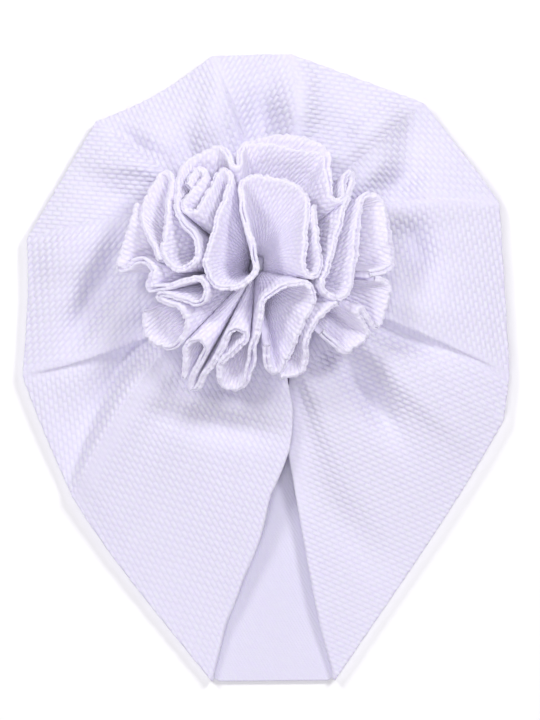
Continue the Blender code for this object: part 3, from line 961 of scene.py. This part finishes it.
def frill_strip(frill, rims, along, levels, rng):
    """A frill's middle with its small waves, and its directions: out of its face, and up it."""
    middle = frill_surface(frill, rims, levels)
    rise = unit(np.gradient(middle, axis=1))
    side = unit(np.cross(rise, np.gradient(middle, axis=0)))
    buckle = BUCKLE_HEIGHT * wave(along, BUCKLE_LENGTH, rng)
    ripple = RIPPLE_HEIGHT * wave(along, RIPPLE_LENGTH, rng)
    middle = middle + side * (buckle[:, None] * levels**2)[..., None]
    middle = middle + rise * (ripple[:, None] * levels**4)[..., None]
    return Strip(middle, side, rise)


def plies_apart(name, rims):
    """At each point of the rim, how far the plies move out, how deep they open, and their step."""
    out, depth, step = np.zeros((3, len(rims)))
    for parting in PARTINGS:
        if parting.frill != name:
            continue
        away = np.linalg.norm(rims - np.array([parting.across, parting.up]), axis=1)
        near = np.exp(-((away / parting.reach) ** 2))
        out = np.maximum(out, parting.out * near)
        depth = np.maximum(depth, parting.depth * near)
        step = np.maximum(step, parting.step * near)
    return out, depth, step


def frill_faces(frill, strip, rims, levels, out, step, raised):
    """Both faces of a strip, by hand, and at the rim the half wall and the lift of each one."""
    half = FRILL_WALL / 2 * (ROOT_WALL_SHARE + (1 - ROOT_WALL_SHARE) * levels)
    half = half[None, :] + out[:, None] * levels**3
    outward = np.sign((strip.side[:, -1, :2] * rims).sum(axis=1))
    heading = np.unwrap(np.arctan2(np.gradient(rims[:, 1]), np.gradient(rims[:, 0])))
    bend = np.gradient(heading) / RIM_STEP
    faces, walls, lifts = {}, {}, {}
    for hand in (1, -1):
        room = TURN_ROOM / np.maximum(SLIGHTEST_BEND, hand * bend)
        wall = np.minimum(half, room[:, None])
        share = 1 if hand == frill.knit_side else OTHER_SIDE_RELIEF
        reach = hand * (wall + FRILL_BUMP_RELIEF * raised * share)
        walls[hand] = wall[:, -1]
        lifts[hand] = step * np.clip(hand * outward, INNER_STEP, 1)
        face = strip.middle + strip.side * reach[..., None]
        faces[hand] = face + strip.rise * (lifts[hand][:, None] * levels**5)[..., None]
    return faces, walls, lifts


def frill_lips(strip, along, walls, lifts, opening, rng):
    """The rims of the two plies, from one face over the groove to the other, and their heights."""
    parting = np.clip(PARTING_GAIN * wave(along, PARTING_LENGTH, rng) - PARTING_LIMIT, 0, 1)
    depth = PARTING_DEPTH * parting + opening
    lips, heights = [], []
    for hand in (1, -1):
        ply = np.minimum(walls[hand], FRILL_WALL / 2)
        scallop = SCALLOP / 2 * sum(wave(along, length, rng) for length in SCALLOP_LENGTHS)
        profile = RIM_PROFILE if hand == 1 else RIM_PROFILE[-2::-1]
        for share, height in profile:
            out = share * (ply + scallop / 2)
            up = height + scallop * share + FRAY * rng.standard_normal(len(along))
            up = up - depth * max(0, GROOVE_SHARE - share) / GROOVE_SHARE
            if share > MIDDLE_SHARE:
                out = out + walls[hand] - ply
                up = up + lifts[hand]
            lips.append(strip.middle[:, -1] + strip.side[:, -1] * (hand * out)[:, None])
            lips[-1] = lips[-1] + strip.rise[:, -1] * up[:, None]
            heights.append(up)
    return np.stack(lips, axis=1), np.stack(heights, axis=1)


def add_strip(build, section):
    """The strip's skin, column by column from one face over the rim to the other, and its ends."""
    index = build.add(section)
    last = index.shape[1] - 1
    lip = SKIN_LEVELS - 1
    groove = lip + len(RIM_PROFILE) - GROOVE_ROWS
    edges = (0, lip, groove, last - groove, last - lip, last)
    for low, high, material in zip(edges, edges[1:], (FACE, RAW, FACE, RAW, FACE)):
        build.grid(index[:, low : high + 1], material)
    build.grid(index[:, [-1, 0]], REVERSE)
    half = len(index[0]) // 2
    for end, flip in ((index[0], False), (index[-1], True)):
        build.band(end[:half], end[::-1][:half], REVERSE, flip)
        tip = end[half - 1 : half + 2].tolist()
        build.face(tip if flip else tip[::-1], REVERSE)


def make_frill(name, frill, cloths):
    """A strip of doubled cloth on edge: two faces, and between them the raw rim of its two plies."""
    rng = np.random.default_rng(len(name))
    levels = np.linspace(0, 1, SKIN_LEVELS) ** LEVEL_BIAS
    rims, along = rim_path(frill.turns)
    strip = frill_strip(frill, rims, along, levels, rng)
    depth = np.linalg.norm(strip.middle - strip.middle[:, -1:], axis=-1)
    raised = bumps(*knit_coordinates(along[:, None], depth, frill.grain))
    out, opening, step = plies_apart(name, rims)
    faces, walls, lifts = frill_faces(frill, strip, rims, levels, out, step, raised)
    lips, heights = frill_lips(strip, along, walls, lifts, opening, rng)
    lips[:, 0] = faces[1][:, -1]
    lips[:, -1] = faces[-1][:, -1]

    build = Builder()
    add_strip(build, np.concatenate([faces[1][:, :-1], lips, faces[-1][:, -2::-1]], axis=1))
    depths = np.concatenate([depth[:, :-1], -heights, depth[:, -2::-1]], axis=1)
    knit = np.stack(knit_coordinates(along[:, None], depths, frill.grain), axis=-1).reshape(-1, 2)
    nap_and_shade = np.ones(len(knit))
    piece = build.make_piece(f"{name}_cloth", cloths, lambda corners, panels: knit[corners], nap_and_shade)
    return piece


class Nodes:
    """Short hand for a material's node tree."""

    def __init__(self, name):
        self.material = bpy.data.materials.new(name)
        self.material.use_nodes = True
        self.tree = self.material.node_tree
        self.shader = self.tree.nodes["Principled BSDF"]

    def node(self, kind, **settings):
        made = self.tree.nodes.new(kind)
        for key, value in settings.items():
            setattr(made, key, value)
        return made

    def link(self, source, target):
        self.tree.links.new(source, target)

    def math(self, operation, first, second=None, clamp=False):
        made = self.node("ShaderNodeMath", operation=operation, use_clamp=clamp)
        for socket, value in zip(made.inputs, (first, second)):
            if value is None:
                continue
            if isinstance(value, (int, float)):
                socket.default_value = value
            else:
                self.link(value, socket)
        return made.outputs[0]

    def knit_axes(self):
        """Sockets with the knit's coordinates along and across its bumps."""
        coordinates = self.node("ShaderNodeUVMap", uv_map="knit")
        split = self.node("ShaderNodeSeparateXYZ")
        self.link(coordinates.outputs[0], split.inputs[0])
        return split.outputs[0], split.outputs[1]

    def noise(self, scale, detail):
        place = self.node("ShaderNodeTexCoord")
        noise = self.node("ShaderNodeTexNoise")
        noise.inputs["Scale"].default_value = scale
        noise.inputs["Detail"].default_value = detail
        self.link(place.outputs["Object"], noise.inputs["Vector"])
        return noise.outputs["Fac"]


def bump_pattern(nodes):
    """The height of the knit's bumps, as in bumps()."""
    along, across = nodes.knit_axes()
    row = nodes.math("DIVIDE", across, BUMP_PITCH)
    odd = nodes.math("MULTIPLY", nodes.math("FLOORED_MODULO", nodes.math("FLOOR", row), 2), 0.5)
    cell = nodes.math("ADD", nodes.math("DIVIDE", along, BUMP_LENGTH), odd)
    heights = []
    for place, exponent in ((cell, BUMP_ENDS), (row, BUMP_SIDES)):
        centred = nodes.math("SUBTRACT", nodes.math("FLOORED_MODULO", place, 1), 0.5)
        curve = nodes.math("COSINE", nodes.math("MULTIPLY", centred, math.pi), clamp=True)
        heights.append(nodes.math("POWER", curve, exponent))
    return nodes.math("MULTIPLY", *heights)


def raised_bumps(nodes):
    """Height of the bumps where the nap raises them, and the pattern that colours them: painted shade
    in their gaps and painted light on their tops, stronger where the nap is higher.
    """
    relief_and_shade = bump_pattern(nodes)
    nap_and_shade = nodes.node("ShaderNodeAttribute", attribute_name="nap_and_shade").outputs["Fac"]
    # A higher nap spreads the colour further from BUMP_MIDDLE: deeper painted shade in the gaps.
    offset = nodes.math("MULTIPLY", nodes.math("SUBTRACT", relief_and_shade, BUMP_MIDDLE), nap_and_shade)
    return nodes.math("MULTIPLY", relief_and_shade, nap_and_shade), nodes.math("ADD", offset, BUMP_MIDDLE)


def fine_ribs(nodes):
    across = nodes.knit_axes()[1]
    ribs = nodes.math("SINE", nodes.math("MULTIPLY", across, math.tau / RIB_PITCH))
    return nodes.math("MULTIPLY", nodes.math("ADD", ribs, 1), RIB_HEIGHT)


def colour_by(nodes, tone, cloth):
    ramp = nodes.node("ShaderNodeValToRGB")
    for element, colour in zip(ramp.color_ramp.elements, (cloth.dark, cloth.light)):
        element.color = (*colour, 1)
    nodes.link(tone, ramp.inputs["Fac"])
    nodes.link(ramp.outputs[0], nodes.shader.inputs["Base Color"])


def make_cloth(name, cloth, knit):
    """Matt knit with a soft sheen: raised ovals on its face, fine ribs on its back."""
    nodes = Nodes(name)
    settings = nodes.shader.inputs
    settings["Roughness"].default_value = ROUGHNESS
    settings["Sheen Weight"].default_value = SHEEN
    settings["Sheen Roughness"].default_value = SHEEN_ROUGHNESS
    settings["Specular IOR Level"].default_value = SPECULAR
    settings["Subsurface Weight"].default_value = cloth.glow
    settings["Subsurface Radius"].default_value = GLOW_RADIUS
    settings["Subsurface Scale"].default_value = cloth.depth * MM
    if knit:
        height, relief_and_shade = raised_bumps(nodes)
    else:
        height = relief_and_shade = fine_ribs(nodes)
    fibres = nodes.math("MULTIPLY", nodes.noise(FIBRE_SCALE, FIBRE_DETAIL), FIBRE_HEIGHT)
    bump = nodes.node("ShaderNodeBump")
    bump.inputs["Strength"].default_value = BUMP_STRENGTH
    bump.inputs["Distance"].default_value = BUMP_DISTANCE * MM
    nodes.link(nodes.math("ADD", height, fibres), bump.inputs["Height"])
    nodes.link(bump.outputs[0], settings["Normal"])
    # The colour: the bumps' or ribs' pattern paints shade into their gaps and light onto their tops, and
    # random blotches vary the tone.
    blotch = nodes.math("MULTIPLY", nodes.noise(BLOTCH_SCALE, BLOTCH_DETAIL), BLOTCH_SHARE)
    raised = nodes.math("MULTIPLY", relief_and_shade, 1 - BLOTCH_SHARE)
    colour_by(nodes, nodes.math("ADD", raised, blotch, clamp=True), cloth)
    return nodes.material


def make_camera():
    data = bpy.data.cameras.new("camera")
    camera = bpy.data.objects.new("camera", data)
    bpy.context.scene.collection.objects.link(camera)
    camera.location = (PICTURE_CENTRE[0] * MM, PICTURE_CENTRE[1] * MM, CAMERA_DISTANCE * MM)
    data.sensor_width = SENSOR
    data.lens = SENSOR * CAMERA_DISTANCE / (PICTURE_HEIGHT * PIXEL)
    data.clip_start = NEAREST
    data.clip_end = FURTHEST
    bpy.context.scene.camera = camera


def make_floor():
    bpy.ops.mesh.primitive_plane_add(size=FLOOR_SIZE, location=(0, 0, FLOOR_LEVEL))
    floor = bpy.context.object
    floor.name = "floor"
    nodes = Nodes("floor")
    nodes.shader.inputs["Base Color"].default_value = (*FLOOR_COLOUR, 1)
    nodes.shader.inputs["Roughness"].default_value = FLOOR_ROUGHNESS
    nodes.shader.inputs["Specular IOR Level"].default_value = FLOOR_SPECULAR
    floor.data.materials.append(nodes.material)


def make_light(name, place, size, power):
    data = bpy.data.lights.new(name, "AREA")
    data.size = size
    data.energy = power
    light = bpy.data.objects.new(name, data)
    light.location = place
    direction = np.array(LIGHT_TARGET) - np.array(place)
    light.rotation_euler = Vector(direction).to_track_quat("-Z", "Y").to_euler()
    bpy.context.scene.collection.objects.link(light)


def make_light_set():
    world = bpy.data.worlds.new("studio")
    world.use_nodes = True
    background = world.node_tree.nodes["Background"]
    background.inputs["Color"].default_value = WORLD_COLOUR
    background.inputs["Strength"].default_value = WORLD_STRENGTH
    bpy.context.scene.world = world
    for light in LIGHTS:
        make_light(*light)


def main():
    bpy.context.scene.view_settings.view_transform = "Standard"
    cap_knit = make_cloth("bullet_knit", CAP_FACE, knit=True)
    # The cap's back is darkened as painted shade for the slot between the flaps.
    cap_reverse_painted_shade = make_cloth("knit_reverse", CAP_REVERSE_PAINTED_SHADE, knit=False)
    # The frills' face and back are painted lighter than the cap, for the light inside the flower.
    knit = make_cloth("frill_bullet_knit", FRILL_FACE_PAINTED_LIGHT, knit=True)
    frill_reverse_painted_light = make_cloth("frill_knit_reverse", FRILL_FACE_PAINTED_LIGHT, knit=False)
    # The raw rims: a paler cut edge with a painted highlight.
    raw_edge_and_highlight = make_cloth("frill_raw_edge_and_highlight", FRILL_RIM_AND_HIGHLIGHT, knit=False)
    cap = make_cap(cap_knit, cap_reverse_painted_shade)
    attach(cap, "root")
    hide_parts("turban_cap")
    for name, frill in FRILLS.items():
        piece = make_frill(name, frill, (knit, frill_reverse_painted_light, raw_edge_and_highlight))
        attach(piece, "root")
        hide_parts(name)
    make_floor()
    make_camera()
    make_light_set()
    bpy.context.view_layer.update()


main()
